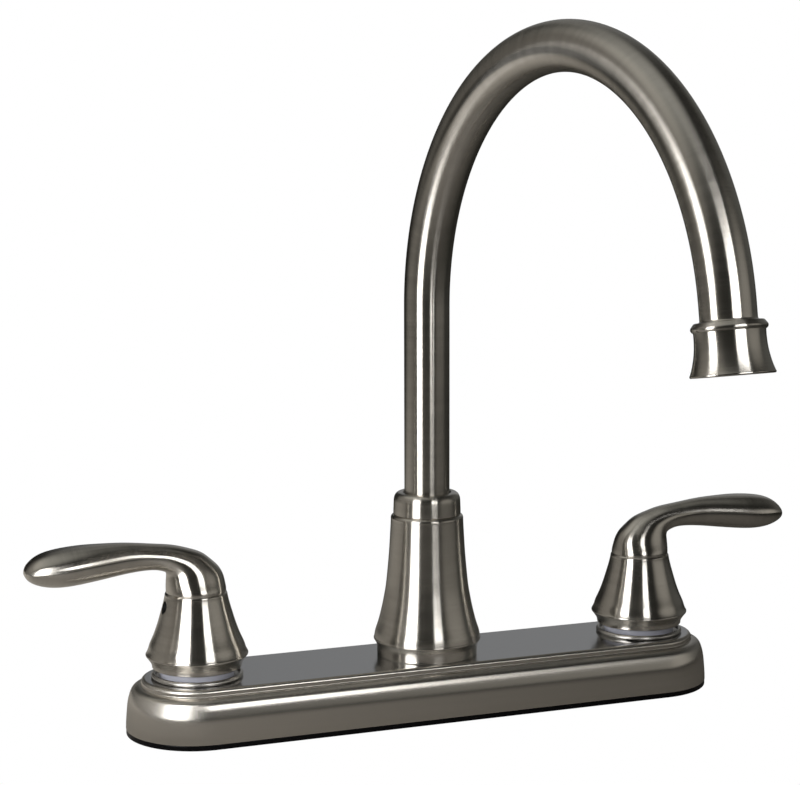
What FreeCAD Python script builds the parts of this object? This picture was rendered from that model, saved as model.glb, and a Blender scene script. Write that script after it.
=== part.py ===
import FreeCAD, Part
import math
import os

# Deck-mounted two-handle kitchen faucet, 8 inch centres, swivelling gooseneck spout.
# Frame: millimetres, +Z up, X along the two handles, -Y towards the sink and the user.
# Origin: centre of the underside of the base gasket, which is the top face of the deck.

V = FreeCAD.Vector
os.makedirs("parts", exist_ok=True)

# ---------------------------------------------------------------- driving dimensions
HANDLE_X = 101.6           # half of the 203.2 mm (8 in) spacing of the two valves
BASE_R = 29.55             # half width of the base at its foot
GASKET_T = 2.2             # gasket between the base and the deck
PLATEAU_Z = 23.0           # flat top of the base cover
COVER_CEIL = 20.8          # underside of the cover's top wall

SHANK_R = 10.48            # 1/2-14 straight pipe thread, major radius
COLLAR_R = 10.9            # plain collar of the shank where it enters the deck
SHANK_END = -60.0          # lower end of the shanks
INLET_R = 6.0              # water way through the shank
DECK_T = 20.0              # worktop thickness that the stored nut position leaves

STEM_R = 5.0
STEM_BORE = 5.06
LEVER_LEN = 70.5           # hub axis to lever tip
HOT_SET = 2.57             # the hot handle is set this far forward on its splines
HUB_FOOT_Z = 27.25
GROOVE_Z = 58.5

TUBE_R = 9.55              # 3/4 in spout tube
TUBE_WALL = 0.95
SWING_DEG = 6.65           # the spout rests this far round from -Y towards +X
RISER_TOP = 171.5          # end of the straight riser, start of the gooseneck arc
ARC_R = 103.6
ARC_DEG = 170.9
OUT_STRAIGHT = 5.5         # straight from the arc's end to the top of the aerator
SLEEVE_R = 10.90
POST_BORE = 10.98
AER_LEN = 17.9


# ---------------------------------------------------------------- helpers
def outline(path):
    """A closed planar face in the XZ plane from (r, z) steps: (r, z) is a line, ('A', rm, zm, r, z) an arc through a middle point, ('S', [(r, z), ...]) a smooth curve."""
    edges = []
    start = path[0]
    cur = V(start[0], 0, start[1])
    first = cur
    for s in path[1:]:
        if s[0] == "A":
            mid, end = V(s[1], 0, s[2]), V(s[3], 0, s[4])
            edges.append(Part.Arc(cur, mid, end).toShape())
        elif s[0] == "S":
            pts = [cur] + [V(r, 0, z) for r, z in s[1]]
            c = Part.BSplineCurve()
            c.interpolate(pts)
            edges.append(c.toShape())
            end = pts[-1]
        else:
            end = V(s[0], 0, s[1])
            edges.append(Part.LineSegment(cur, end).toShape())
        cur = end
    if cur.distanceToPoint(first) > 1e-7:
        edges.append(Part.LineSegment(cur, first).toShape())
    return Part.Face(Part.Wire(edges))


def turned(path, angle=360.0, start=0.0):
    """Solid of revolution about Z."""
    f = outline(path)
    if start:
        f.rotate(V(0, 0, 0), V(0, 0, 1), start)
    s = f.revolve(V(0, 0, 0), V(0, 0, 1), angle)
    return s


def ring(r0, r1, z0, z1):
    """Plain ring or, with r0 = 0, a disc."""
    s = Part.makeCylinder(r1, z1 - z0, V(0, 0, z0))
    if r0 > 0:
        s = s.cut(Part.makeCylinder(r0, z1 - z0 + 2, V(0, 0, z0 - 1)))
    return s


def sector(r0, r1, z0, z1, mid_deg, span_deg):
    """Sector of a ring about Z."""
    a0 = mid_deg - span_deg / 2.0
    return turned([(r0, z0), (r1, z0), (r1, z1), (r0, z1)], span_deg, a0)


def torus(major, minor, z):
    return Part.makeTorus(major, minor, V(0, 0, z))


def rod_x(r, x0, x1, z):
    return Part.makeCylinder(r, x1 - x0, V(x0, 0, z), V(1, 0, 0))


def hexagon(af, z0, z1):
    pts = [V(af / math.sqrt(3) * math.cos(math.radians(60 * i + 30)), af / math.sqrt(3) * math.sin(math.radians(60 * i + 30)), z0) for i in range(7)]
    pts[6] = pts[0]
    return Part.Face(Part.makePolygon(pts)).extrude(V(0, 0, z1 - z0))


def stadium(path):
    """Solid with this half section all round a stadium whose ends turn about the two handle axes. The path runs from r = 0 to r = 0."""
    f = outline(path)
    right = f.copy()
    right.rotate(V(0, 0, 0), V(0, 0, 1), -90)
    right = right.revolve(V(0, 0, 0), V(0, 0, 1), 180)
    right.translate(V(HANDLE_X, 0, 0))
    left = f.copy()
    left.rotate(V(0, 0, 0), V(0, 0, 1), 90)
    left = left.revolve(V(0, 0, 0), V(0, 0, 1), 180)
    left.translate(V(-HANDLE_X, 0, 0))
    solids = [left]
    for turn in (90, -90):
        g = f.copy()
        g.rotate(V(0, 0, 0), V(0, 0, 1), turn)
        g.translate(V(-HANDLE_X, 0, 0))
        solids.append(g.extrude(V(2 * HANDLE_X, 0, 0)))
    return right.multiFuse(solids).removeSplitter()


def moved(shape, x=0.0, y=0.0, z=0.0):
    s = shape.copy()
    s.translate(V(x, y, z))
    return s


def cold(shape):
    """Local piece of a valve or handle set onto the right-hand axis."""
    return moved(shape, HANDLE_X)


def hot(shape, turn=0.0):
    """The same piece mirrored onto the left-hand axis."""
    s = shape.mirror(V(0, 0, 0), V(1, 0, 0))
    if turn:
        s.rotate(V(0, 0, 0), V(0, 0, 1), turn)
    return moved(s, -HANDLE_X)


def write(name, shape):
    solids = shape.Solids
    if not solids:
        raise ValueError(name + " has no solid")
    out = solids[0] if len(solids) == 1 else Part.makeCompound(solids)
    if not out.isValid():
        print("INVALID", name)
    out.exportStep("parts/" + name + ".step")
    print("%-26s solids %d  volume %9.1f mm3" % (name, len(solids), out.Volume))
    return out


# ---------------------------------------------------------------- base cover and gasket
cover_out = [
    (0, GASKET_T), (BASE_R, GASKET_T),
    ("S", [(29.42, 5.5), (29.1, 9.3), (28.7, 12.9), (28.36, 14.6), (27.87, 16.3), (27.3, 17.75), (26.75, 18.62), (26.1, 19.18), (25.2, 19.62), (24.2, 19.9)]),
    (23.55, 20.0),
    ("A", 23.23, 20.12, 23.1, 20.45),
    (23.1, 21.3),
    ("A", 22.6, 22.5, 21.4, PLATEAU_Z),
    (0, PLATEAU_Z),
]
cover_in = [
    (0, GASKET_T - 1), (27.3, GASKET_T - 1), (27.3, GASKET_T), (26.1, 14.6),
    ("A", 25.1, 16.9, 22.8, 17.9), (21.0, 18.1), (20.9, 20.0), (20.1, COVER_CEIL), (0, COVER_CEIL),
]
cover = stadium(cover_out).cut(stadium(cover_in))
for x, r in ((-HANDLE_X, 13.4), (HANDLE_X, 13.4), (0, 13.2)):
    cover = cover.cut(moved(ring(0, r, 10, 30), x))

gasket = stadium([(0, 0), (29.45, 0), (29.45, GASKET_T), (0, GASKET_T)])
for x in (-HANDLE_X, HANDLE_X):
    gasket = gasket.cut(moved(ring(0, 12.3, -1, 5), x))

# ---------------------------------------------------------------- valve body with its shank (local, port towards -X)
PORT_Z = 14.0
body = turned([
    (INLET_R, SHANK_END), (SHANK_R - 0.8, SHANK_END), (SHANK_R, SHANK_END + 0.8), (SHANK_R, -46.0), (9.7, -45.6), (9.7, -44.4), (SHANK_R, -44.0),
    (SHANK_R, -3.0), (COLLAR_R, -3.0), (COLLAR_R, GASKET_T), (18.0, GASKET_T), (18.0, 6.5), (15.5, 6.5), (15.5, COVER_CEIL),
    (13.0, COVER_CEIL), (13.0, 28.5), (12.5, 29.0), (10.5, 29.0), (10.5, 7.0), (INLET_R, 7.0),
])
body = body.cut(rod_x(4.0, -16.0, -9.0, PORT_Z)).cut(rod_x(5.02, -16.5, -12.5, PORT_Z))

seat_seal = ring(6.2, 8.5, 7.0, 8.4)

# fixed disc: two ports across the Y axis; moving disc: its ports lie across X while closed
fixed_disc = ring(0, 8.6, 8.4, 11.0)
moving_disc = ring(0, 8.4, 11.05, 13.4)
for m in (90, -90):
    fixed_disc = fixed_disc.cut(sector(3.0, 7.2, 8.0, 11.5, m, 78))
for m in (0, 180):
    moving_disc = moving_disc.cut(sector(3.0, 7.2, 10.5, 14.0, m, 78))
slot = Part.makeBox(3.1, 12.2, 2.0, V(-1.55, -6.1, 12.15))
tongue = Part.makeBox(3.0, 12.0, 1.2, V(-1.5, -6.0, 12.2))
moving_disc = moving_disc.cut(slot)

stem = turned([
    (0, 13.4), (7.4, 13.4), (7.4, 15.6), (STEM_R, 15.6), (STEM_R, 36.4), (3.92, 36.4), (3.92, 37.6), (STEM_R, 37.6),
    (STEM_R, 42.5), (4.5, 42.9), (4.5, 55.4), (3.9, 56.0), (0, 56.0),
])
stem = stem.fuse(tongue).fuse(sector(7.0, 8.3, 13.9, 15.3, 0, 28)).removeSplitter()
stem_ring = torus(4.47, 0.53, 37.0)

housing = turned([
    (8.65, 7.4), (9.6, 7.4), (9.6, 22.0), (10.45, 22.0), (10.45, 29.0), (7.5, 29.0), (7.5, 40.2), (6.9, 41.0),
    (STEM_BORE, 41.0), (STEM_BORE, 15.9), (8.65, 15.9),
])
hexf = hexagon(22.0, 29.0, 33.0).common(turned([(0, 29.0), (11.9, 29.0), (12.4, 29.5), (12.4, 32.5), (11.9, 33.0), (0, 33.0)]))
housing = housing.fuse(hexf.cut(ring(0, 7.0, 28, 34)))
# quarter-turn stop: ribs fill the ring round the stem's lug except for its travel
housing = housing.fuse(sector(7.6, 9.0, 13.45, 15.9, 135, 240)).removeSplitter()
housing = housing.cut(rod_x(1.6, -11.0, -7.0, 14.6))

# ---------------------------------------------------------------- trim ring nut and glide ring under the handle
bonnet = turned([
    (13.05, PLATEAU_Z), (18.35, PLATEAU_Z), ("A", 18.85, 23.85, 18.45, 24.65), ("A", 17.85, 25.05, 17.3, 24.8),
    (17.0, 24.3), (17.0, 23.8), (14.6, 23.8), (14.6, 28.4), (13.05, 28.4),
])
glide = turned([(14.7, 23.8), (15.1, 23.8), (15.1, 25.35), (15.75, 25.45), (15.75, 26.5), ("A", 15.65, 26.8, 15.4, 26.93), (14.7, 26.93)])

# ---------------------------------------------------------------- handle: bell hub and lever in one casting (local, lever towards +X)
hub_profile = [
    (0, HUB_FOOT_Z), (18.0, HUB_FOOT_Z), ("A", 18.32, 27.38, 18.42, 27.75), ("S", [(18.55, 28.6), (18.95, 29.6), (19.7, 30.75), (20.7, 32.1)]), ("A", 20.98, 32.6, 20.8, 33.1),
    ("S", [(20.33, 34.0), (19.45, 36.6), (18.55, 38.7), (17.55, 41.0), (16.8, 43.0), (15.95, 45.5), (14.55, 50.2), (13.92, 52.4), (13.35, 54.6), (12.93, 56.5), (12.79, 57.3)]), ("A", 12.66, 57.9, 12.28, 58.35),
    (12.15, GROOVE_Z), (12.3, 58.75), (12.35, 59.6), (0, 59.6),
]
hub = turned(hub_profile)
# lever stations: (inner x, z), (outer x, z), half width across Y
stations = [
    ((12.3, 59.6), (-12.3, 59.6), 12.3),
    ((12.35, 60.8), (-12.15, 60.8), 11.9),
    ((12.35, 62.0), (-11.95, 62.0), 11.35),
    ((12.3, 64.1), (-11.25, 65.0), 10.3),
    ((12.2, 65.95), (-9.4, 68.45), 9.35),
    ((12.6, 67.35), (-6.45, 71.4), 8.45),
    ((13.9, 68.1), (-2.9, 74.25), 7.6),
    ((15.55, 68.6), (2.5, 76.5), 6.9),
    ((17.5, 68.95), (8.9, 78.35), 6.4),
    ((20.2, 69.1), (16.05, 79.45), 6.15),
    ((24.0, 69.0), (22.95, 80.35), 6.2),
    ((30.0, 68.45), (30.0, 81.1), 6.85),
    ((38.0, 67.4), (38.0, 81.45), 8.4),
    ((45.5, 66.45), (45.5, 81.55), 10.0),
    ((52.9, 65.75), (52.9, 81.2), 10.9),
    ((58.7, 65.75), (58.7, 80.5), 10.75),
    ((63.5, 66.5), (63.5, 79.3), 9.6),
    ((67.0, 67.75), (67.0, 77.4), 7.8),
    ((69.15, 69.2), (69.15, 75.3), 5.8),
    ((LEVER_LEN - 0.25, 70.85), (LEVER_LEN - 0.25, 73.55), 2.7),
]
grid = []
for (ix, iz), (ox, oz), w in stations:
    cx, cz, ux, uz = (ix + ox) / 2, (iz + oz) / 2, (ox - ix) / 2, (oz - iz) / 2
    grid.append([V(cx + ux * math.cos(2 * math.pi * k / 24), w * math.sin(2 * math.pi * k / 24), cz + uz * math.cos(2 * math.pi * k / 24)) for k in range(25)])
skin = Part.BSplineSurface()
skin.interpolate(grid)
skin = skin.toShape()
shell = Part.Shell([skin] + [Part.Face(Part.Wire([e])) for e in skin.Edges if e.isClosed()])
shell.sewShape()
lever = Part.Solid(shell)
handle = hub.fuse(lever)
handle = handle.cut(turned([(0, 26.0), (16.9, 26.0), (16.9, HUB_FOOT_Z), (14.2, 39.0), (13.6, 40.0), (8.2, 40.0), (8.2, 43.0), (0, 43.0)]))
handle = handle.cut(ring(0, 4.55, 42.0, 56.6))
handle = handle.cut(rod_x(2.5, 3.0, 20.0, 53.0))

screw = rod_x(2.45, 4.55, 11.9, 53.0)
socket = hexagon(2.5, 0, 3.2)
socket.rotate(V(0, 0, 0), V(0, 1, 0), 90)
socket.translate(V(9.0, 0, 53.0))
screw = screw.cut(socket)

# ---------------------------------------------------------------- under the deck: washer and nut on each shank
washer = ring(11.2, 24.0, -DECK_T - 2.0, -DECK_T)
nut = turned([(10.62, -36.0), (16.5, -36.0), (16.5, -24.4), (21.5, -24.0), (21.5, -DECK_T - 2.0), (10.62, -DECK_T - 2.0)])
for k in range(4):
    wing = Part.makeBox(10.0, 3.2, 10.5, V(16.0, -1.6, -35.5)).common(turned([(15, -36), (25.5, -36), (25.5, -30), (21.0, -25), (15, -25)]))
    wing.rotate(V(0, 0, 0), V(0, 0, 1), 45 + 90 * k)
    nut = nut.fuse(wing)
nut = nut.removeSplitter()

# ---------------------------------------------------------------- centre: post, bell, crossover tubes
post = turned([
    (0, GASKET_T), (16.0, GASKET_T), (16.0, 6.5), (15.0, 6.5), (15.0, COVER_CEIL), (13.0, COVER_CEIL), (13.0, 83.2),
    (12.55, 83.2), (12.55, 90.6), (12.15, 91.0), (POST_BORE, 91.0), (POST_BORE, 36.0), (6.0, 36.0), (6.0, 8.5), (0, 8.5),
])
post = post.cut(rod_x(4.0, -17.0, 17.0, PORT_Z)).cut(rod_x(5.02, -17.0, -12.0, PORT_Z)).cut(rod_x(5.02, 12.0, 17.0, PORT_Z))

crossover = Part.makeCylinder(5.0, HANDLE_X - 12.5 - 12.0, V(12.0, 0, PORT_Z), V(1, 0, 0)).cut(
    Part.makeCylinder(4.0, HANDLE_X, V(5.0, 0, PORT_Z), V(1, 0, 0)))

bell = turned([
    (13.15, 64.0), (15.0, 56.0), (16.3, 45.0), (19.2, 33.0), (20.0, 29.6), (19.4, 27.0), (19.4, PLATEAU_Z), (21.1, PLATEAU_Z), (21.38, 23.35),
    (21.4, 25.8), ("S", [(21.47, 26.8), (21.75, 27.8), (22.15, 28.6), (22.6, 29.35)]), ("A", 22.82, 29.8, 22.62, 30.4),
    ("S", [(22.2, 32.8), (21.5, 35.0), (20.8, 37.2), (20.24, 39.3), (19.2, 43.7), (18.35, 48.0), (17.6, 52.4), (17.1, 56.8), (16.68, 61.1), (16.3, 65.4), (15.98, 69.8), (15.73, 74.1), (15.48, 78.4), (15.34, 81.6)]),
    ("A", 15.05, 82.75, 14.2, 83.3), (13.15, 83.3),
])

collar = turned([
    (12.65, 83.3), (13.85, 83.3), ("A", 14.15, 83.5, 14.25, 83.9), (14.27, 85.0),
    ("S", [(14.13, 88.6), (13.98, 90.3), (13.6, 91.4), (13.0, 92.2), (12.2, 92.68), (11.4, 92.8)]), (10.35, 92.8), (10.1, 92.55), (10.1, 91.2), (12.65, 91.2),
])
bushing = ring(9.63, 10.93, 84.3, 91.0)

# ---------------------------------------------------------------- spout: swivel sleeve, gooseneck tube, outlet nose, aerator
sleeve = turned([
    (6.5, 38.0), (10.3, 38.0), (SLEEVE_R, 38.8), (SLEEVE_R, 44.5), (9.3, 44.5), (9.3, 47.5), (SLEEVE_R, 47.5), (SLEEVE_R, 54.5), (9.3, 54.5), (9.3, 57.5),
    (SLEEVE_R, 57.5), (SLEEVE_R, 84.0), (9.57, 84.0), (9.57, 66.0), (6.5, 66.0),
])
sleeve_rings = Part.makeCompound([torus(10.13, 0.82, 46.0), torus(10.13, 0.82, 56.0)])

phi = math.radians(SWING_DEG)
H = V(math.sin(phi), -math.cos(phi), 0)            # the way the spout points
N = V(math.cos(phi), math.sin(phi), 0)             # across the gooseneck's plane
arc = math.radians(ARC_DEG)
arc_centre = V(0, 0, RISER_TOP) + H * ARC_R
T = H * math.sin(arc) + V(0, 0, math.cos(arc))     # direction of flow at the outlet
arc_end = V(0, 0, RISER_TOP) + H * (ARC_R * (1 - math.cos(arc))) + V(0, 0, ARC_R * math.sin(arc))
aer_top = arc_end + T * OUT_STRAIGHT


def gooseneck(r, z0, straight):
    """Riser, arc and short straight of radius r."""
    riser = Part.makeCylinder(r, RISER_TOP - z0, V(0, 0, z0))
    disc = Part.Face(Part.Wire([Part.makeCircle(r, V(0, 0, RISER_TOP), V(0, 0, 1))]))
    # turning about this axis takes +Z towards the spout's direction
    bend = disc.revolve(arc_centre, V(0, 0, 1).cross(H), ARC_DEG)
    end = Part.makeCylinder(r, straight, arc_end, T)
    return riser.fuse(bend).fuse(end)


tube = gooseneck(TUBE_R, 66.0, OUT_STRAIGHT - 2.3).cut(gooseneck(TUBE_R - TUBE_WALL, 65.0, OUT_STRAIGHT))
tube = tube.removeSplitter()


def at_outlet(shape):
    """From a local axis +Z along the flow, zero at the aerator's top, to the end of the spout."""
    s = shape.copy()
    s.Placement = FreeCAD.Placement(aer_top, FreeCAD.Rotation(V(0, 0, 1), T)).multiply(s.Placement)
    return s


nose = turned([
    (7.0, -12.0), (8.3, -12.0), (TUBE_R - TUBE_WALL - 0.02, -5.4), (TUBE_R - TUBE_WALL - 0.02, -2.3), (TUBE_R, -2.3), (TUBE_R, -0.75), ("A", 9.72, -0.3, 10.2, 0.0),
    (9.95, 0.0), (9.95, 6.0), (7.0, 6.0),
])
aer_shell = turned([
    (10.0, 0.0), (11.2, 0.0), ("A", 11.55, 0.1, 11.8, 0.35), (12.55, 1.3), ("A", 12.78, 2.0, 12.55, 2.7), ("A", 12.3, 3.0, 11.93, 3.15),
    ("S", [(11.88, 5.0), (11.95, 7.0), (12.17, 9.5), (12.6, 12.0), (13.2, 14.5), (13.9, 16.6), (14.1, 17.1)]),
    ("A", 14.14, 17.62, 13.7, AER_LEN), (13.3, AER_LEN), (10.6, 14.8), (10.6, 6.2), (10.0, 6.2),
])
aer_washer = ring(7.4, 10.5, 6.3, 7.9)
aer_insert = ring(0, 10.5, 8.0, 14.4)
aer_insert = aer_insert.cut(ring(0, 8.9, 13.2, 15.0))
for ringr, count in ((2.6, 6), (5.2, 12), (7.4, 16)):
    for k in range(count):
        a = 2 * math.pi * k / count
        aer_insert = aer_insert.cut(Part.makeCylinder(0.8, 8.0, V(ringr * math.cos(a), ringr * math.sin(a), 7.0)))

# ---------------------------------------------------------------- write every piece
write("base_cover", cover)
write("base_gasket", gasket)
write("spout_post", post)
write("spout_bell", bell)
write("spout_collar_nut", collar)
write("spout_bushing", bushing)
for side, put in (("hot", hot), ("cold", cold)):
    write(side + "_valve_body", put(body))
    write(side + "_seat_seal", put(seat_seal))
    write(side + "_fixed_disc", put(fixed_disc))
    write(side + "_moving_disc", put(moving_disc))
    write(side + "_cartridge_housing", put(housing))
    write(side + "_stem", put(stem))
    write(side + "_stem_o_ring", put(stem_ring))
    write(side + "_trim_ring", put(bonnet))
    write(side + "_glide_ring", put(glide))
    write(side + "_handle", hot(handle, HOT_SET) if side == "hot" else cold(handle))
    write(side + "_set_screw", hot(screw, HOT_SET) if side == "hot" else cold(screw))
    write(side + "_shank_washer", put(washer))
    write(side + "_mounting_nut", put(nut))
write("cold_crossover_tube", crossover)
write("hot_crossover_tube", crossover.mirror(V(0, 0, 0), V(1, 0, 0)))
write("spout_sleeve", sleeve)
write("spout_o_rings", sleeve_rings)
write("spout_tube", tube)
write("spout_nose", at_outlet(nose))
write("aerator_shell", at_outlet(aer_shell))
write("aerator_washer", at_outlet(aer_washer))
write("aerator_insert", at_outlet(aer_insert))
print("aerator top", aer_top, "flow", T, "outlet", aer_top + T * AER_LEN)
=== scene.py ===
import math

import bpy
import bmesh
import numpy as np
from mathutils import Matrix, Vector


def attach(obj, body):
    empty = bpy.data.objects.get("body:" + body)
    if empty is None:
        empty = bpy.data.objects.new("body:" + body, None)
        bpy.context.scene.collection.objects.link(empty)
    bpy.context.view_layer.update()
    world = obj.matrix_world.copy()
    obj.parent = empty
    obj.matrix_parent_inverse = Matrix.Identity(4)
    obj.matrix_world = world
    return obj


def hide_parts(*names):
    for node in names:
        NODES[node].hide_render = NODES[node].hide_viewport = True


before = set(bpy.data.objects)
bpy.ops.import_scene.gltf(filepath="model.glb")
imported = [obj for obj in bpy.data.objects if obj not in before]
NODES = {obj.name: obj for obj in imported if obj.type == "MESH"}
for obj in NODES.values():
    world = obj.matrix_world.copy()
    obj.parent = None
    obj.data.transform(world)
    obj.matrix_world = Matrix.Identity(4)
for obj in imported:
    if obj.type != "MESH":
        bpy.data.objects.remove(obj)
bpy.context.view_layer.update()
MM = 0.001

# ------------------------------------------------------------------ dimensions, in millimetres, as in the construction
HANDLE_X = 101.6
BASE_R = 29.55
GASKET_T = 2.2
PLATEAU_Z = 23.0
COVER_CEIL = 20.8
HUB_FOOT_Z = 27.25
GROOVE_Z = 58.5
LEVER_LEN = 70.5
HOT_SET = 2.57
TUBE_R = 9.55
TUBE_WALL = 0.95
SWING_DEG = 6.65
RISER_TOP = 171.5
ARC_R = 103.6
ARC_DEG = 170.9
OUT_STRAIGHT = 5.5
AER_LEN = 17.9

phi = math.radians(SWING_DEG)
arc = math.radians(ARC_DEG)
H = Vector((math.sin(phi), -math.cos(phi), 0.0))
ARC_C = Vector((0, 0, RISER_TOP)) + H * ARC_R
FLOW = H * math.sin(arc) + Vector((0, 0, math.cos(arc)))
ARC_END = Vector((0, 0, RISER_TOP)) + H * (ARC_R * (1 - math.cos(arc))) + Vector((0, 0, ARC_R * math.sin(arc)))
AER_TOP = ARC_END + FLOW * OUT_STRAIGHT


# ------------------------------------------------------------------ outlines
def cubic(points, n):
    """n+1 points on the natural cubic spline through the points."""
    p = np.array(points, float)
    d = np.sqrt(((p[1:] - p[:-1]) ** 2).sum(1))
    t = np.concatenate([[0], np.cumsum(d)])
    m = len(p)
    a = np.zeros((m, m))
    b = np.zeros((m, p.shape[1]))
    a[0, 0] = a[-1, -1] = 1.0
    for i in range(1, m - 1):
        h0, h1 = d[i - 1], d[i]
        a[i, i - 1], a[i, i], a[i, i + 1] = h0, 2 * (h0 + h1), h1
        b[i] = 6 * ((p[i + 1] - p[i]) / h1 - (p[i] - p[i - 1]) / h0)
    mm = np.linalg.solve(a, b)
    out = []
    for s in np.linspace(0, t[-1], n + 1):
        i = min(int(np.searchsorted(t, s, side="right")) - 1, m - 2)
        h = d[i]
        u0, u1 = t[i + 1] - s, s - t[i]
        out.append(mm[i] * u0**3 / (6 * h) + mm[i + 1] * u1**3 / (6 * h) + (p[i] / h - mm[i] * h / 6) * u0 + (p[i + 1] / h - mm[i + 1] * h / 6) * u1)
    return np.array(out)


def arc3(p0, p1, p2, step):
    """Points after p0 on the circle through three points."""
    ax, ay = p0
    bx, by = p1
    cx, cy = p2
    d = 2 * (ax * (by - cy) + bx * (cy - ay) + cx * (ay - by))
    ux = ((ax**2 + ay**2) * (by - cy) + (bx**2 + by**2) * (cy - ay) + (cx**2 + cy**2) * (ay - by)) / d
    uy = ((ax**2 + ay**2) * (cx - bx) + (bx**2 + by**2) * (ax - cx) + (cx**2 + cy**2) * (bx - ax)) / d
    r = math.hypot(ax - ux, ay - uy)
    a0, a1, a2 = (math.atan2(y - uy, x - ux) for x, y in (p0, p1, p2))
    d1 = (a1 - a0) % (2 * math.pi)
    d2 = (a2 - a0) % (2 * math.pi)
    sweep = d2 if d1 < d2 else d2 - 2 * math.pi
    n = max(4, int(abs(sweep) * r / step), int(abs(sweep) / math.radians(7)))
    return [(ux + r * math.cos(a0 + sweep * k / n), uy + r * math.sin(a0 + sweep * k / n)) for k in range(1, n + 1)]


def outline(spec, step=0.6, closed=True):
    """Polyline of (r, z). A step is (r, z), or (r, z, f) with an eased corner of size f, ("A", rm, zm, r, z[, f]) or ("S", [(r, z), ...][, f])."""
    pts, ease = [], []
    for s in spec:
        if s[0] == "A":
            new = arc3(pts[-1], (s[1], s[2]), (s[3], s[4]), step)
            f = s[5] if len(s) > 5 else 0
        elif s[0] == "S":
            c = cubic([pts[-1]] + list(s[1]), max(8, int(sum(math.dist(p, q) for p, q in zip([pts[-1]] + list(s[1]), s[1])) / step)))
            new = [tuple(x) for x in c[1:]]
            f = s[2] if len(s) > 2 else 0
        else:
            new = [(s[0], s[1])]
            f = s[2] if len(s) > 2 else 0
        pts += new
        ease += [0] * (len(new) - 1) + [f]
    n = len(pts)
    out = []
    drop = set()
    soft = {}
    for i in range(n):
        f = ease[i]
        if not f:
            continue

        def walk(direction):
            left, j, cur = f, i, pts[i]
            gone = []
            while True:
                k = j + direction
                if closed:
                    k %= n
                elif k < 0 or k >= n:
                    return cur, gone
                d = math.dist(cur, pts[k])
                if d > left or ease[k]:
                    w = min(left, d * 0.45) / max(d, 1e-9)
                    return (cur[0] + (pts[k][0] - cur[0]) * w, cur[1] + (pts[k][1] - cur[1]) * w), gone
                left -= d
                cur = pts[k]
                j = k
                gone.append(k)

        a, g0 = walk(-1)
        b, g1 = walk(1)
        drop.update(g0 + g1)
        p = pts[i]
        soft[i] = [((1 - t) ** 2 * a[0] + 2 * t * (1 - t) * p[0] + t * t * b[0], (1 - t) ** 2 * a[1] + 2 * t * (1 - t) * p[1] + t * t * b[1]) for t in (0, 0.14, 0.3, 0.42, 0.5, 0.58, 0.7, 0.86, 1)]
    for i in range(n):
        if i in soft:
            out += soft[i]
        elif i not in drop:
            out.append(pts[i])
    clean = [out[0]]
    for p in out[1:]:
        if math.dist(p, clean[-1]) > 1e-4:
            clean.append(p)
    if closed and math.dist(clean[0], clean[-1]) < 1e-4:
        clean.pop()
    return clean


def turning(pts, closed):
    """Angle at each point of a polyline, in degrees."""
    p = np.array(pts, float)
    n = len(p)
    out = np.zeros(n)
    for i in range(n):
        if not closed and i in (0, n - 1):
            continue
        a, b = p[i] - p[i - 1], p[(i + 1) % n] - p[i]
        c = (a @ b) / (np.linalg.norm(a) * np.linalg.norm(b) + 1e-12)
        out[i] = math.degrees(math.acos(max(-1, min(1, c))))
    return out


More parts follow.
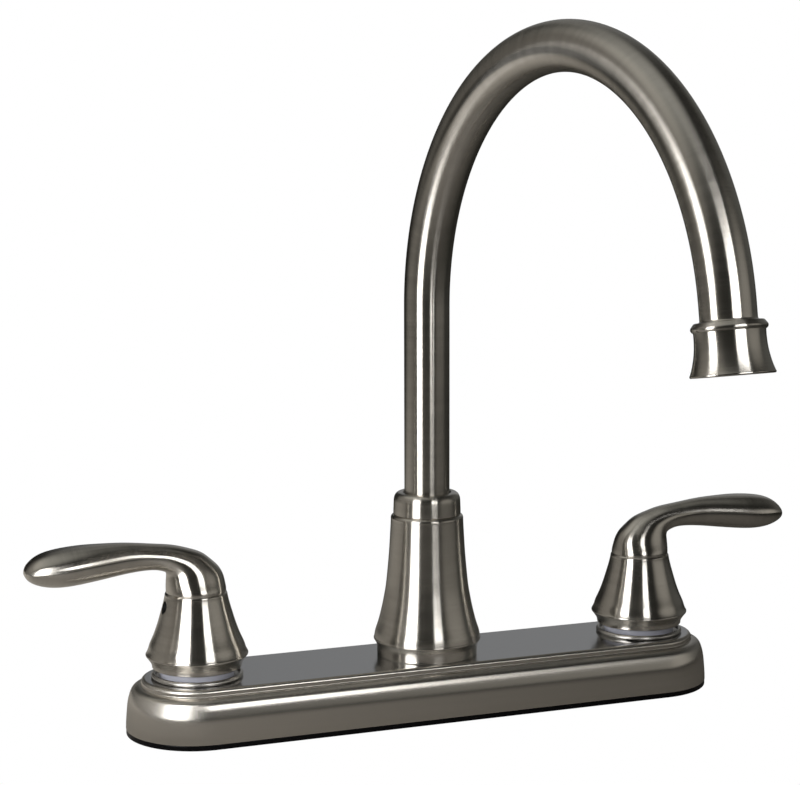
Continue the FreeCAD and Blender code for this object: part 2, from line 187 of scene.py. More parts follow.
# ------------------------------------------------------------------ meshes
def skin(name, rings, closed, sharp, along, around=None, placement=None, flip=False):
    """Mesh through rings of equally many points (millimetres). closed joins the last ring to the first. sharp marks rings whose edge is hard.
    The map "brush" runs round the piece in x and along its outline in y; the attribute "grain" holds the same, without a seam, in millimetres."""
    rings = np.array(rings, float)
    m, n, _ = rings.shape
    verts = rings.reshape(-1, 3)
    if placement is not None:
        mat = np.array(placement, float)
        verts = verts @ mat[:3, :3].T + mat[:3, 3]
    rows = m if closed else m - 1
    i = np.repeat(np.arange(rows), n)
    j = np.tile(np.arange(n), rows)
    i2, j2 = (i + 1) % m, (j + 1) % n
    quads = np.stack([i * n + j, i * n + j2, i2 * n + j2, i2 * n + j], 1)
    if flip:
        quads = quads[:, ::-1]
    mesh = bpy.data.meshes.new(name)
    mesh.from_pydata((verts * MM).tolist(), [], quads.tolist())
    length = np.array(along, float)
    total = length[-1] + (np.linalg.norm(rings[0] - rings[-1], axis=1).mean() if closed else 0)
    v1 = np.where(i2 == 0, total, length[i2]) if closed else length[i2]
    if around is None:
        around = np.arange(n + 1) / n * 100.0
    around = np.array(around, float)
    u = np.stack([around[j], around[j + 1], around[j + 1], around[j]], 1)
    v = np.stack([length[i], length[i], v1, v1], 1)
    uv = np.stack([u, v], 2)
    if flip:
        uv = uv[:, ::-1]
    layer = mesh.uv_layers.new(name="brush")
    layer.data.foreach_set("uv", (uv * 0.01).astype(np.float32).ravel())
    ang = 2 * math.pi * around[:-1] / around[-1]
    girth = around[-1] / (2 * math.pi)
    grain = np.zeros((m, n, 3))
    grain[:, :, 0] = np.cos(ang)[None, :] * girth
    grain[:, :, 1] = np.sin(ang)[None, :] * girth
    grain[:, :, 2] = length[:, None]
    att = mesh.attributes.new("grain", "FLOAT_VECTOR", "POINT")
    att.data.foreach_set("vector", grain.astype(np.float32).ravel())
    ev = np.zeros(len(mesh.edges) * 2, int)
    mesh.edges.foreach_get("vertices", ev)
    ev = ev.reshape(-1, 2) // n
    hard = (ev[:, 0] == ev[:, 1]) & np.array(sharp, bool)[ev[:, 0]]
    se = mesh.attributes.new("sharp_edge", "BOOLEAN", "EDGE")
    se.data.foreach_set("value", hard)
    mesh.polygons.foreach_set("use_smooth", np.ones(len(mesh.polygons), bool))
    bm = bmesh.new()
    bm.from_mesh(mesh)
    bmesh.ops.remove_doubles(bm, verts=bm.verts, dist=2e-7)
    bmesh.ops.dissolve_degenerate(bm, edges=bm.edges, dist=1e-8)
    bmesh.ops.recalc_face_normals(bm, faces=bm.faces)
    bm.to_mesh(mesh)
    bm.free()
    obj = bpy.data.objects.new(name, mesh)
    bpy.context.scene.collection.objects.link(obj)
    return obj


def chord(pts):
    p = np.array(pts, float)
    return np.concatenate([[0], np.cumsum(np.sqrt(((p[1:] - p[:-1]) ** 2).sum(1)))])


def lathe(name, spec, n=160, closed=True, placement=None, step=0.6, hard=24, girth=None):
    """Turned piece. The outline is closed, or open with both ends on the axis."""
    pts = outline(spec, step, closed)
    sharp = turning(pts, closed) > hard
    ang = [2 * math.pi * k / n for k in range(n)]
    rings = [[(r * math.cos(a), r * math.sin(a), z) for a in ang] for r, z in pts]
    rmax = girth or max(r for r, _ in pts)
    return skin(name, rings, closed, sharp, chord(pts), np.arange(n + 1) / n * 2 * math.pi * rmax, placement)


def stadium_ring(r, nend=56, nside=48):
    """Points of a stadium of radius r about the two handle axes, anticlockwise from (+X end, -Y)."""
    pts = []
    for k in range(nend):
        a = -math.pi / 2 + math.pi * k / nend
        pts.append((HANDLE_X + r * math.cos(a), r * math.sin(a)))
    for k in range(nside):
        pts.append((HANDLE_X - 2 * HANDLE_X * k / nside, r))
    for k in range(nend):
        a = math.pi / 2 + math.pi * k / nend
        pts.append((-HANDLE_X + r * math.cos(a), r * math.sin(a)))
    for k in range(nside):
        pts.append((-HANDLE_X + 2 * HANDLE_X * k / nside, -r))
    return pts


def stadium(name, spec, step=0.6, hard=24):
    pts = outline(spec, step, True)
    sharp = turning(pts, True) > hard
    rings = [[(x, y, z) for x, y in stadium_ring(max(r, 0.0))] for r, z in pts]
    ref = stadium_ring(BASE_R)
    around = chord(ref + [ref[0]])
    return skin(name, rings, True, sharp, chord(pts), around)


def cut(obj, tool):
    """Boolean difference, applied."""
    mod = obj.modifiers.new("cut", "BOOLEAN")
    mod.operation = "DIFFERENCE"
    mod.solver = "EXACT"
    mod.object = tool
    dg = bpy.context.evaluated_depsgraph_get()
    new = bpy.data.meshes.new_from_object(obj.evaluated_get(dg), preserve_all_data_layers=True, depsgraph=dg)
    obj.modifiers.clear()
    old = obj.data
    obj.data = new
    bpy.data.meshes.remove(old)
    bpy.data.objects.remove(tool)


def cylinder(name, r, z0, z1, x=0.0, y=0.0, n=96, placement=None):
    rings = [[(x + rr * math.cos(2 * math.pi * k / n), y + rr * math.sin(2 * math.pi * k / n), z) for k in range(n)] for rr, z in ((0, z0), (r, z0), (r, z1), (0, z1))]
    return skin(name, rings, False, [0, 1, 1, 0], [0, r, r + z1 - z0, 2 * r + z1 - z0], placement=placement)


def mirrored(obj, name):
    """A copy mirrored across X = 0."""
    mesh = obj.data.copy()
    mesh.transform(Matrix.Scale(-1, 4, Vector((1, 0, 0))))
    mesh.flip_normals()
    new = bpy.data.objects.new(name, mesh)
    mesh.name = name
    bpy.context.scene.collection.objects.link(new)
    return new


# ------------------------------------------------------------------ materials
def shade(name, color, metallic, rough, aniso=0.0, turn=0.0, ior=None, coat=0.0, coat_rough=0.03, sheen=0.0, subsurface=0.0):
    mat = bpy.data.materials.new(name)
    mat.use_nodes = True
    nt = mat.node_tree
    b = nt.nodes["Principled BSDF"]
    b.inputs["Base Color"].default_value = (*color, 1)
    b.inputs["Metallic"].default_value = metallic
    b.inputs["Roughness"].default_value = rough
    b.inputs["Anisotropic"].default_value = aniso
    b.inputs["Anisotropic Rotation"].default_value = turn
    b.inputs["Coat Weight"].default_value = coat
    b.inputs["Coat Roughness"].default_value = coat_rough
    if ior:
        b.inputs["IOR"].default_value = ior
    if subsurface:
        b.inputs["Subsurface Weight"].default_value = subsurface
        b.inputs["Subsurface Radius"].default_value = (0.002, 0.002, 0.002)
    return mat, nt, b


def node(nt, kind, **values):
    n = nt.nodes.new(kind)
    for k, v in values.items():
        if k in n.inputs:
            n.inputs[k].default_value = v
        else:
            setattr(n, k, v)
    return n


def ramp_of(nt, source, low, high, a=0.0, b=1.0):
    """Map Range from a..b to low..high."""
    n = nt.nodes.new("ShaderNodeMapRange")
    n.clamp = True
    n.inputs["From Min"].default_value = a
    n.inputs["From Max"].default_value = b
    n.inputs["To Min"].default_value = low
    n.inputs["To Max"].default_value = high
    nt.links.new(source, n.inputs["Value"])
    return n.outputs["Result"]


def tinted(nt, source, dark, light):
    m = nt.nodes.new("ShaderNodeMix")
    m.data_type = "RGBA"
    m.inputs[6].default_value = (*dark, 1)
    m.inputs[7].default_value = (*light, 1)
    nt.links.new(source, m.inputs[0])
    return m.outputs[2]


def brushed(name, color, rough=0.245, aniso=0.975, turn=0.25, lines=0.6, spread=0.10, bump=0.0, tangent=True, coat=0.0, around=0.035, across=2.2):
    """Brushed metal: fine lines that run round the piece (or, with around above across, along its outline), stretched noise in the seamless "grain" coordinates."""
    mat, nt, b = shade(name, color, 1.0, rough, aniso, turn, coat=coat)
    at = node(nt, "ShaderNodeAttribute", attribute_name="grain", attribute_type="GEOMETRY")
    fine = nt.nodes.new("ShaderNodeMapping")
    fine.inputs["Scale"].default_value = (around, around, across)
    nt.links.new(at.outputs["Vector"], fine.inputs["Vector"])
    n1 = node(nt, "ShaderNodeTexNoise", Scale=1.0, Detail=4.0, Roughness=0.65)
    nt.links.new(fine.outputs["Vector"], n1.inputs["Vector"])
    broad = nt.nodes.new("ShaderNodeMapping")
    if around < across:
        broad.inputs["Scale"].default_value = (around * 0.6, around * 0.6, across * 0.12)
    else:
        broad.inputs["Scale"].default_value = (around * 0.12, around * 0.12, across * 0.6)
    nt.links.new(at.outputs["Vector"], broad.inputs["Vector"])
    n2 = node(nt, "ShaderNodeTexNoise", Scale=1.0, Detail=3.0, Roughness=0.5)
    nt.links.new(broad.outputs["Vector"], n2.inputs["Vector"])
    mixed = node(nt, "ShaderNodeMath", operation="MULTIPLY_ADD")
    nt.links.new(n2.outputs["Fac"], mixed.inputs[0])
    mixed.inputs[1].default_value = 0.45
    half = node(nt, "ShaderNodeMath", operation="MULTIPLY")
    nt.links.new(n1.outputs["Fac"], half.inputs[0])
    half.inputs[1].default_value = 0.55
    nt.links.new(half.outputs[0], mixed.inputs[2])
    s = spread * lines
    dark = tuple(c * (1 - 1.6 * s) for c in color)
    light = tuple(min(1.0, c * (1 + 1.2 * s)) for c in color)
    nt.links.new(tinted(nt, ramp_of(nt, mixed.outputs[0], 0, 1, 0.3, 0.7), dark, light), b.inputs["Base Color"])
    nt.links.new(ramp_of(nt, mixed.outputs[0], rough * (1 - 0.16 * lines), rough * (1 + 0.16 * lines), 0.3, 0.7), b.inputs["Roughness"])
    bp = nt.nodes.new("ShaderNodeBump")
    bp.inputs["Strength"].default_value = bump * lines
    bp.inputs["Distance"].default_value = 0.00002
    nt.links.new(n1.outputs["Fac"], bp.inputs["Height"])
    nt.links.new(bp.outputs["Normal"], b.inputs["Normal"])
    if tangent:
        tg = nt.nodes.new("ShaderNodeTangent")
        tg.direction_type = "UV_MAP"
        tg.uv_map = "brush"
        nt.links.new(tg.outputs["Tangent"], b.inputs["Tangent"])
    return mat


NICKEL = (0.60, 0.57, 0.52)
nickel_turned = brushed("brushed_nickel_turned", NICKEL)
nickel_base = brushed("brushed_nickel_base", NICKEL, rough=0.235, aniso=0.95, turn=0.0, lines=0.25, around=0.05, across=9.0, spread=0.08, bump=0.0)
nickel_top = brushed("polished_nickel_top", (0.57, 0.57, 0.57), rough=0.17, aniso=0.0, around=2.0, across=2.0, spread=0.01, bump=0.01)
nickel_lever = brushed("brushed_nickel_handle", NICKEL, rough=0.22, aniso=0.96)
nickel_bright = brushed("polished_nickel", (0.60, 0.58, 0.55), rough=0.22, aniso=0.9, turn=0.0, lines=0.3)


def speckled(name, color, rough, metallic=0.0, scale=900.0, depth=0.06, bump=0.1, distance=0.00003, **more):
    """Moulded, cast or machined stock: object-space noise in colour, roughness and bump."""
    mat, nt, b = shade(name, color, metallic, rough, **more)
    tc = nt.nodes.new("ShaderNodeTexCoord")
    n1 = node(nt, "ShaderNodeTexNoise", Scale=scale, Detail=5.0, Roughness=0.6)
    nt.links.new(tc.outputs["Object"], n1.inputs["Vector"])
    n2 = node(nt, "ShaderNodeTexNoise", Scale=scale * 0.08, Detail=3.0)
    nt.links.new(tc.outputs["Object"], n2.inputs["Vector"])
    dark = tuple(c * (1 - depth) for c in color)
    light = tuple(min(1.0, c * (1 + depth)) for c in color)
    nt.links.new(tinted(nt, ramp_of(nt, n2.outputs["Fac"], 0, 1, 0.3, 0.7), dark, light), b.inputs["Base Color"])
    nt.links.new(ramp_of(nt, n1.outputs["Fac"], rough * 0.85, min(1.0, rough * 1.15), 0.3, 0.7), b.inputs["Roughness"])
    bp = nt.nodes.new("ShaderNodeBump")
    bp.inputs["Strength"].default_value = bump
    bp.inputs["Distance"].default_value = distance
    nt.links.new(n1.outputs["Fac"], bp.inputs["Height"])
    nt.links.new(bp.outputs["Normal"], b.inputs["Normal"])
    return mat


gasket_mat = speckled("black_gasket", (0.0025, 0.0025, 0.003), 0.22, scale=500.0, ior=1.22)
nylon_mat = speckled("white_nylon", (0.56, 0.57, 0.65), 0.35, scale=700.0, depth=0.02, subsurface=0.15)
brass_mat = speckled("machined_brass", (0.78, 0.57, 0.27), 0.28, metallic=1.0, scale=1200.0)
copper_mat = speckled("copper_tube", (0.80, 0.42, 0.28), 0.25, metallic=1.0, scale=800.0)
ceramic_mat = speckled("ceramic", (0.86, 0.85, 0.81), 0.12, scale=1500.0, depth=0.02)
rubber_mat = speckled("black_rubber", (0.02, 0.02, 0.02), 0.5, scale=900.0)
acetal_mat = speckled("aerator_acetal", (0.62, 0.64, 0.66), 0.4, scale=900.0)
# Black oxide steel for the set screws; the same material paints the handles' set-screw bores black, as painted shade in
# the recess.
black_steel_and_bore_shade = speckled("black_oxide_steel_and_painted_bore_shade", (0.006, 0.006, 0.006), 0.6, metallic=0.0, scale=1500.0, ior=1.2)
zinc_mat = speckled("zinc_plate", (0.66, 0.67, 0.70), 0.3, metallic=1.0, scale=700.0)
nut_mat = speckled("nut_plastic", (0.055, 0.055, 0.06), 0.45, scale=800.0)

BY_NODE = {
    "spout_post": brass_mat, "spout_sleeve": brass_mat, "spout_bushing": nylon_mat, "spout_o_rings": rubber_mat,
    "aerator_washer": rubber_mat, "aerator_insert": acetal_mat,
}
for side in ("hot", "cold"):
    BY_NODE.update({
        side + "_valve_body": brass_mat, side + "_seat_seal": rubber_mat, side + "_fixed_disc": ceramic_mat, side + "_moving_disc": ceramic_mat,
        side + "_cartridge_housing": brass_mat, side + "_stem": brass_mat, side + "_stem_o_ring": rubber_mat, side + "_set_screw": black_steel_and_bore_shade,
        side + "_shank_washer": zinc_mat, side + "_mounting_nut": nut_mat, side + "_crossover_tube": copper_mat,
    })
for name, mat in BY_NODE.items():
    o = NODES[name]
    o.data.materials.clear()
    o.data.materials.append(mat)
    for p in o.data.polygons:
        p.material_index = 0


def piece(obj, body, mat, slot, *stands_for):
    obj.data.materials.clear()
    obj.data.materials.append(mat)
    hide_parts(*stands_for)
    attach(obj, body)
    return obj


# ------------------------------------------------------------------ base cover and gasket
cover = stadium("base_cover_skin", [
    (0, PLATEAU_Z), (19.8, PLATEAU_Z), (20.9, PLATEAU_Z), (21.4, PLATEAU_Z),
    ("A", 22.6, 22.5, 23.1, 21.3), (23.1, 20.45), ("A", 23.23, 20.12, 23.55, 20.0), (24.2, 19.9),
    ("S", [(25.2, 19.62), (26.1, 19.18), (26.75, 18.62), (27.3, 17.75), (27.87, 16.3), (28.36, 14.6), (28.7, 12.9), (29.1, 9.3), (29.42, 5.5), (BASE_R, 2.6)]), (BASE_R, GASKET_T, 0.15),
    (27.3, GASKET_T), (26.1, 14.6), ("A", 25.1, 16.9, 22.8, 17.9), (21.0, 18.1), (20.9, 20.0), (20.1, COVER_CEIL), (0, COVER_CEIL),
])
for x, r in ((-HANDLE_X, 13.4), (HANDLE_X, 13.4), (0, 13.2)):
    cut(cover, cylinder("drill", r, 18, 26, x))
piece(cover, "base", nickel_base, "brushed_nickel", "base_cover")
cover.data.materials.append(nickel_top)
for p in cover.data.polygons:
    if p.center.z > (PLATEAU_Z - 0.01) * MM and p.normal.z > 0.99:
        p.material_index = 1

gasket = stadium("base_gasket_skin", [(0, GASKET_T), (28.9, GASKET_T), (29.45, GASKET_T, 0.5), (29.45, 0, 0.35), (0, 0)])
for x in (-HANDLE_X, HANDLE_X):
    cut(gasket, cylinder("drill", 12.3, -1, 4, x))
piece(gasket, "base", gasket_mat, "black_gasket", "base_gasket")

# ------------------------------------------------------------------ centre: bell and collar nut
bell = lathe("spout_bell_skin", [
    (13.15, 64.0), (15.0, 56.0), (16.3, 45.0), (19.2, 33.0), (20.0, 29.6), (19.4, 27.0), (19.4, PLATEAU_Z), (21.1, PLATEAU_Z), (21.38, 23.35, 0.2),
    (21.4, 25.8), ("S", [(21.47, 26.8), (21.75, 27.8), (22.15, 28.6), (22.6, 29.35)]), ("A", 22.82, 29.8, 22.62, 30.4),
    ("S", [(22.2, 32.8), (21.5, 35.0), (20.8, 37.2), (20.24, 39.3), (19.2, 43.7), (18.35, 48.0), (17.6, 52.4), (17.1, 56.8), (16.68, 61.1), (16.3, 65.4), (15.98, 69.8), (15.73, 74.1), (15.48, 78.4), (15.34, 81.6)]),
    ("A", 15.05, 82.75, 14.2, 83.3), (13.15, 83.3),
], n=192)
piece(bell, "base", nickel_turned, "brushed_nickel", "spout_bell")

collar = lathe("spout_collar_nut_skin", [
    (12.65, 83.3), (13.85, 83.3), ("A", 14.15, 83.5, 14.25, 83.9), (14.27, 85.0),
    ("S", [(14.13, 88.6), (13.98, 90.3), (13.6, 91.4), (13.0, 92.2), (12.2, 92.68), (11.4, 92.8)]), (10.35, 92.8), (10.1, 92.55), (10.1, 91.2), (12.65, 91.2),
], n=160, step=0.35)
piece(collar, "base", nickel_turned, "brushed_nickel", "spout_collar_nut")

# ------------------------------------------------------------------ trim rings and glide rings
BONNET = [
    (13.05, PLATEAU_Z), (18.35, PLATEAU_Z), ("A", 18.85, 23.85, 18.45, 24.65), ("A", 17.85, 25.05, 17.3, 24.8),
    (17.0, 24.3), (17.0, 23.8), (14.6, 23.8), (14.6, 28.4), (13.05, 28.4),
]
GLIDE = [(14.7, 23.8), (15.1, 23.8), (15.1, 25.35), (15.75, 25.45), (15.75, 26.5), ("A", 15.65, 26.8, 15.4, 26.93), (14.7, 26.93)]
at_cold = Matrix.Translation(Vector((HANDLE_X, 0, 0)))
for spec, stem, mat, slot in ((BONNET, "trim_ring", nickel_bright, "bright_nickel"), (GLIDE, "glide_ring", nylon_mat, "nylon")):
    c = lathe("cold_" + stem + "_skin", spec, n=160, placement=at_cold, step=0.3)
    h = mirrored(c, "hot_" + stem + "_skin")
    piece(c, "base", mat, slot, "cold_" + stem)
    piece(h, "base", mat, slot, "hot_" + stem)

# ------------------------------------------------------------------ handles: hub and lever in one casting
STATIONS = [
    ((12.3, 59.6), (-12.3, 59.6), 12.3), ((12.35, 60.8), (-12.15, 60.8), 11.9), ((12.35, 62.0), (-11.95, 62.0), 11.35),
    ((12.3, 64.1), (-11.25, 65.0), 10.3), ((12.2, 65.95), (-9.4, 68.45), 9.35), ((12.6, 67.35), (-6.45, 71.4), 8.45),
    ((13.9, 68.1), (-2.9, 74.25), 7.6), ((15.55, 68.6), (2.5, 76.5), 6.9), ((17.5, 68.95), (8.9, 78.35), 6.4),
    ((20.2, 69.1), (16.05, 79.45), 6.15), ((24.0, 69.0), (22.95, 80.35), 6.2), ((30.0, 68.45), (30.0, 81.1), 6.85),
    ((38.0, 67.4), (38.0, 81.45), 8.4), ((45.5, 66.45), (45.5, 81.55), 10.0), ((52.9, 65.75), (52.9, 81.2), 10.9),
    ((58.7, 65.75), (58.7, 80.5), 10.75), ((63.5, 66.5), (63.5, 79.3), 9.6), ((67.0, 67.75), (67.0, 77.4), 7.8),
    ((69.15, 69.2), (69.15, 75.3), 5.8), ((LEVER_LEN - 0.25, 70.85), (LEVER_LEN - 0.25, 73.55), 2.7),
]


def handle_mesh(name, n=128):
    inside = [(0, 56.6), (4.55, 56.6), (4.55, 43.0), (8.2, 43.0), (8.2, 40.0), (13.6, 40.0), (14.2, 39.0), (16.9, HUB_FOOT_Z)]
    outside = outline([
        (18.0, HUB_FOOT_Z), ("A", 18.32, 27.38, 18.42, 27.75), ("S", [(18.55, 28.6), (18.95, 29.6), (19.7, 30.75), (20.7, 32.1)]), ("A", 20.98, 32.6, 20.8, 33.1),
        ("S", [(20.33, 34.0), (19.45, 36.6), (18.55, 38.7), (17.55, 41.0), (16.8, 43.0), (15.95, 45.5), (14.55, 50.2), (13.92, 52.4), (13.35, 54.6), (12.93, 56.5), (12.79, 57.3)]), ("A", 12.66, 57.9, 12.28, 58.35),
        (12.15, GROOVE_Z, 0.1), (12.3, 58.75, 0.12), (12.35, 59.6),
    ], 0.6, False)
    pts = inside + outside[:-1]
    turn = turning(pts, False)
    rings, sharp = [], []
    th = [2 * math.pi * k / n for k in range(n)]
    for (r, z), t in zip(pts, turn):
        rings.append([(-r * math.cos(a), r * math.sin(a), z) for a in th])
        sharp.append(t > 24)
    raw = np.array([[ix, iz, ox, oz, w] for (ix, iz), (ox, oz), w in STATIONS])
    fine = cubic(raw, 150)
    # the tip closes on a small dome
    for ix, iz, ox, oz, w in fine:
        cx, cz, ux, uz = (ix + ox) / 2, (iz + oz) / 2, (ox - ix) / 2, (oz - iz) / 2
        rings.append([(cx + ux * math.cos(a), w * math.sin(a), cz + uz * math.cos(a)) for a in th])
        sharp.append(False)
    ix, iz, ox, oz, w = fine[-1]
    for k in (0.5, 0.8, 1.0):
        f = math.sqrt(max(0.0, 1 - k * k))
        rings.append([(ix + 0.25 * k, w * f * math.sin(a), (iz + oz) / 2 + (oz - iz) / 2 * f * math.cos(a)) for a in th])
        sharp.append(False)
    along = np.concatenate([[0], np.cumsum([np.linalg.norm(np.array(rings[i + 1]) - np.array(rings[i]), axis=1).mean() for i in range(len(rings) - 1)])])
    o = skin(name, rings, False, sharp, along, np.arange(n + 1) / n * 2 * math.pi * 14, Matrix.Translation(Vector((HANDLE_X, 0, 0))))
    bore = cylinder("drill", 2.5, 3.0, 20.0, n=48, placement=Matrix.Translation(Vector((HANDLE_X, 0, 53.0))) @ Matrix.Rotation(math.pi / 2, 4, "Y"))
    cut(o, bore)
    return o


cold_handle = handle_mesh("cold_handle_skin")
hot_handle = mirrored(cold_handle, "hot_handle_skin")
hot_axis = Vector((-HANDLE_X, 0, 0)) * MM
hot_handle.data.transform(Matrix.Translation(hot_axis) @ Matrix.Rotation(math.radians(HOT_SET), 4, "Z") @ Matrix.Translation(-hot_axis))
piece(cold_handle, "cold_handle", nickel_lever, "brushed_nickel", "cold_handle")
piece(hot_handle, "hot_handle", nickel_lever, "brushed_nickel", "hot_handle")
# The faces of the set-screw bore take the black screw steel: painted shade darkening the recess.
for o, x, turn in ((cold_handle, HANDLE_X, 0.0), (hot_handle, -HANDLE_X, math.pi + math.radians(HOT_SET))):
    o.data.materials.append(black_steel_and_bore_shade)
    inwards = Matrix.Rotation(-turn, 3, "Z")
    for p in o.data.polygons:
        c = inwards @ (p.center / MM - Vector((x, 0, 53.0)))
        if c.x > 4.0 and math.hypot(c.y, c.z) < 2.52 and c.x < 13.6 and abs((inwards @ p.normal).x) < 0.3:
            p.material_index = 1


# ------------------------------------------------------------------ spout tube, outlet nose, aerator
def tube_mesh(name, n=96):
    path = [(Vector((0, 0, z)), Vector((0, 0, 1))) for z in np.linspace(66.0, RISER_TOP, 60)]
    for a in np.linspace(0, arc, 170)[1:]:
        path.append((ARC_C - H * (ARC_R * math.cos(a)) + Vector((0, 0, ARC_R * math.sin(a))), (H * math.sin(a) + Vector((0, 0, math.cos(a))))))
    for k in np.linspace(0, OUT_STRAIGHT - 2.3, 4)[1:]:
        path.append((ARC_END + FLOW * k, FLOW))
    side = Vector((math.cos(phi), math.sin(phi), 0))
    th = [2 * math.pi * k / n for k in range(n)]

    def ring_at(c, t, r):
        up = side.cross(t)
        return [tuple(c + (up * math.cos(a) + side * math.sin(a)) * r) for a in th]

    rings = [ring_at(c, t, TUBE_R) for c, t in path] + [ring_at(c, t, TUBE_R - TUBE_WALL) for c, t in reversed(path)]
    m = len(path)
    sharp = [i in (0, m - 1, m, 2 * m - 1) for i in range(2 * m)]
    along = np.concatenate([[0], np.cumsum([np.linalg.norm(np.array(rings[i + 1]) - np.array(rings[i]), axis=1).mean() for i in range(2 * m - 1)])])
    return skin(name, rings, True, sharp, along, np.arange(n + 1) / n * 2 * math.pi * TUBE_R)


tube = tube_mesh("spout_tube_skin")
piece(tube, "spout", nickel_turned, "brushed_nickel", "spout_tube")

zax = FLOW.normalized()
rot = Vector((0, 0, 1)).rotation_difference(zax).to_matrix().to_4x4()
at_outlet = Matrix.Translation(AER_TOP) @ rot
nose = lathe("spout_nose_skin", [
    (7.0, -12.0), (8.3, -12.0), (TUBE_R - TUBE_WALL - 0.02, -5.4), (TUBE_R - TUBE_WALL - 0.02, -2.3), (TUBE_R, -2.3), (TUBE_R, -0.75), ("A", 9.72, -0.3, 10.2, 0.0),
    (9.95, 0.0), (9.95, 6.0), (7.0, 6.0),
], n=128, placement=at_outlet, step=0.3)
piece(nose, "spout", nickel_turned, "brushed_nickel", "spout_nose")
shell = lathe("aerator_shell_skin", [
    (10.0, 0.0), (11.2, 0.0), ("A", 11.55, 0.1, 11.8, 0.35), (12.55, 1.3, 0.25), ("A", 12.78, 2.0, 12.55, 2.7), ("A", 12.3, 3.0, 11.93, 3.15),
    ("S", [(11.88, 5.0), (11.95, 7.0), (12.17, 9.5), (12.6, 12.0), (13.2, 14.5), (13.9, 16.6), (14.1, 17.1)]),
    ("A", 14.14, 17.62, 13.7, AER_LEN), (13.3, AER_LEN), (10.6, 14.8), (10.6, 6.2), (10.0, 6.2),
], n=160, placement=at_outlet, step=0.3)
piece(shell, "spout", nickel_turned, "brushed_nickel", "aerator_shell")

# ------------------------------------------------------------------ camera
az, pitch, roll = math.radians(-21.037), math.radians(8.053), math.radians(-0.184)
fwd = Vector((-math.sin(az) * math.cos(pitch), math.cos(az) * math.cos(pitch), -math.sin(pitch)))
right0 = Vector((math.cos(az), math.sin(az), 0))
up0 = right0.cross(fwd)
right = right0 * math.cos(roll) + up0 * math.sin(roll)
up = up0 * math.cos(roll) - right0 * math.sin(roll)
cam = bpy.data.cameras.new("camera")
cam_obj = bpy.data.objects.new("camera", cam)
bpy.context.scene.collection.objects.link(cam_obj)
mw = Matrix((right, up, -fwd)).transposed().to_4x4()
mw.translation = Vector((-317.583, -787.082, 247.121)) * MM
cam_obj.matrix_world = mw
cam.sensor_fit = "HORIZONTAL"
cam.sensor_width = 36.0
cam.lens = 2036.389 / 800 * 36.0
cam.shift_x = (400 - 393.906) / 800
cam.shift_y = (411.434 - 392.5) / 800
cam.clip_start = 0.01
cam.clip_end = 50
bpy.context.scene.camera = cam_obj

# ------------------------------------------------------------------ floor, lights and world
bpy.ops.mesh.primitive_plane_add(size=12)
floor = bpy.context.object
floor.name = "floor"
floor.location.z = -0.0002
fm = bpy.data.materials.new("floor")
fm.use_nodes = True
nt = fm.node_tree
nt.nodes.clear()
out = nt.nodes.new("ShaderNodeOutputMaterial")
lp = nt.nodes.new("ShaderNodeLightPath")
dif = nt.nodes.new("ShaderNodeBsdfDiffuse")
em = nt.nodes.new("ShaderNodeEmission")
em.inputs["Color"].default_value = (1, 1, 1, 1)
# Seen only in reflections, the floor is painted darker away from the object (painted shade for the light falling off),
# and an emission patch at the back left is a painted pool of light. The camera sees the floor evenly white.
fc = nt.nodes.new("ShaderNodeTexCoord")
dist = node(nt, "ShaderNodeVectorMath", operation="LENGTH")
nt.links.new(fc.outputs["Object"], dist.inputs[0])
nt.links.new(tinted(nt, ramp_of(nt, dist.outputs["Value"], 0, 1, 0.16, 0.42), (0.38, 0.362, 0.34), (0.11, 0.11, 0.10)), dif.inputs["Color"])
away = node(nt, "ShaderNodeVectorMath", operation="DISTANCE")
nt.links.new(fc.outputs["Object"], away.inputs[0])
away.inputs[1].default_value = (-0.34, 0.31, 0.0)
painted_floor_glow = nt.nodes.new("ShaderNodeEmission")
painted_floor_glow.inputs["Color"].default_value = (0.50, 0.475, 0.435, 1)
nt.links.new(ramp_of(nt, away.outputs["Value"], 1.0, 0.0, 0.12, 0.40), painted_floor_glow.inputs["Strength"])
reflected_floor_and_painted_glow = nt.nodes.new("ShaderNodeAddShader")
nt.links.new(dif.outputs[0], reflected_floor_and_painted_glow.inputs[0])
nt.links.new(painted_floor_glow.outputs[0], reflected_floor_and_painted_glow.inputs[1])
mx = nt.nodes.new("ShaderNodeMixShader")
nt.links.new(lp.outputs["Is Camera Ray"], mx.inputs[0])
nt.links.new(reflected_floor_and_painted_glow.outputs[0], mx.inputs[1])
nt.links.new(em.outputs[0], mx.inputs[2])
nt.links.new(mx.outputs[0], out.inputs["Surface"])
floor.data.materials.append(fm)


def softbox(name, left, right_, z0, z1, radiance, color=(1, 1, 1)):
    """Upright rectangular lamp between two plan points, facing the object."""
    a, b = Vector((*left, 0)) * MM, Vector((*right_, 0)) * MM
    w, h = (b - a).length, (z1 - z0) * MM
    mid = (a + b) / 2
    mid.z = (z0 + z1) / 2 * MM
    x = (b - a).normalized()
    n = x.cross(Vector((0, 0, 1)))
    if n.dot(mid) < 0:
        n = -n
    # an area lamp shines along its own -Z, so +Z points away from the object
    y = n.cross(x)
    lamp = bpy.data.lights.new(name, "AREA")
    lamp.shape = "RECTANGLE"
    lamp.size, lamp.size_y = w, h
    lamp.energy = radiance * math.pi * w * h
    lamp.color = color
    o = bpy.data.objects.new(name, lamp)
    m = Matrix((x, y, n)).transposed().to_4x4()
    m.translation = mid
    o.matrix_world = m
    bpy.context.scene.collection.objects.link(o)
    return o


softbox("key_left", (-385, -137), (-291, -282), 12, 340, 6.0)
softbox("key_right", (-43, -516), (102, -412), 165, 335, 5.4)

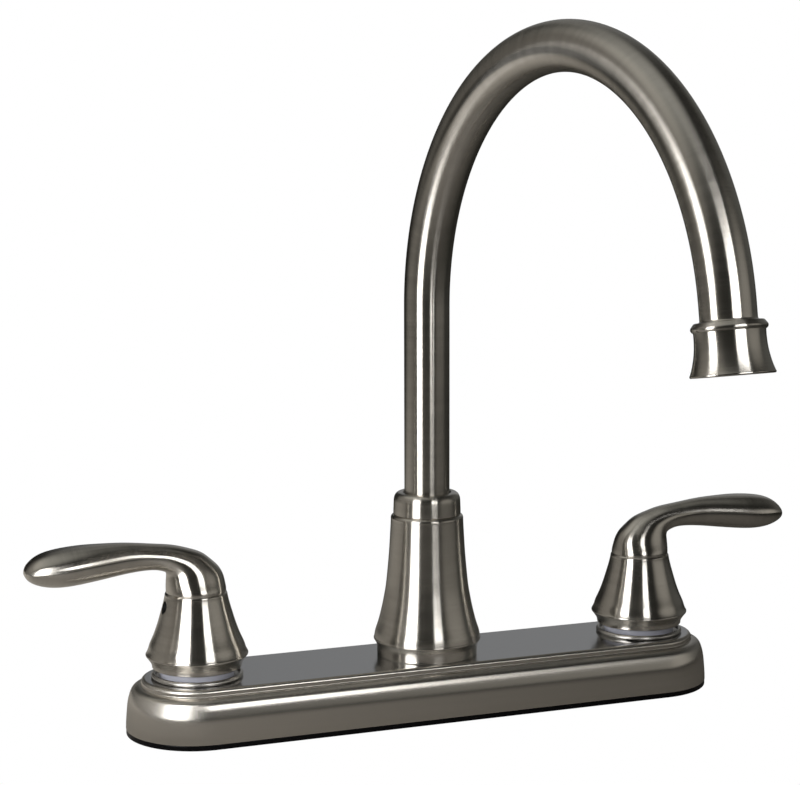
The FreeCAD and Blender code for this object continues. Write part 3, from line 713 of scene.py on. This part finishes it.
world = bpy.data.worlds.new("world")
bpy.context.scene.world = world
world.use_nodes = True
nt = world.node_tree
nt.nodes.clear()
out = nt.nodes.new("ShaderNodeOutputWorld")
lp = nt.nodes.new("ShaderNodeLightPath")
seen = node(nt, "ShaderNodeBackground", Color=(1, 1, 1, 1), Strength=1.0)
tc = nt.nodes.new("ShaderNodeTexCoord")
room = node(nt, "ShaderNodeBackground", Strength=1.0)


def lobe(total, azimuth, elevation, inner, outer, color):
    """Adds a soft patch of wall or ceiling to the room's light."""
    a, e = math.radians(azimuth), math.radians(elevation)
    d = node(nt, "ShaderNodeVectorMath", operation="DOT_PRODUCT")
    nt.links.new(tc.outputs["Generated"], d.inputs[0])
    d.inputs[1].default_value = (math.cos(a) * math.cos(e), math.sin(a) * math.cos(e), math.sin(e))
    w = nt.nodes.new("ShaderNodeMapRange")
    w.interpolation_type = "SMOOTHSTEP"
    w.inputs["From Min"].default_value = math.cos(math.radians(outer))
    w.inputs["From Max"].default_value = math.cos(math.radians(inner))
    nt.links.new(d.outputs["Value"], w.inputs["Value"])
    m = node(nt, "ShaderNodeVectorMath", operation="SCALE")
    m.inputs[0].default_value = color
    nt.links.new(w.outputs["Result"], m.inputs["Scale"])
    add = node(nt, "ShaderNodeVectorMath", operation="ADD")
    if total is None:
        add.inputs[0].default_value = (0.022, 0.022, 0.020)
    else:
        nt.links.new(total, add.inputs[0])
    nt.links.new(m.outputs["Vector"], add.inputs[1])
    return add.outputs["Vector"]


light = lobe(None, 162, 27, 15, 52, (0.235, 0.222, 0.203))
light = lobe(light, 62, 15, 9, 24, (0.235, 0.238, 0.245))
light = lobe(light, 160, 72, 14, 44, (0.34, 0.34, 0.32))
light = lobe(light, -40, 2, 14, 34, (0.40, 0.385, 0.355))
light = lobe(light, 20, 4, 14, 46, (0.085, 0.085, 0.08))
light = lobe(light, 68, 42, 11, 22, (0.14, 0.14, 0.135))
# below the deck, for the shanks and nuts
light = lobe(light, 0, -90, 25, 75, (0.75, 0.75, 0.75))
nt.links.new(light, room.inputs["Color"])
mx = nt.nodes.new("ShaderNodeMixShader")
nt.links.new(lp.outputs["Is Camera Ray"], mx.inputs[0])
nt.links.new(room.outputs[0], mx.inputs[1])
nt.links.new(seen.outputs[0], mx.inputs[2])
nt.links.new(mx.outputs[0], out.inputs["Surface"])

sc = bpy.context.scene
sc.view_settings.view_transform = "Standard"
sc.view_settings.look = "None"
sc.view_settings.exposure = 0
sc.view_settings.gamma = 1

bpy.context.view_layer.update()
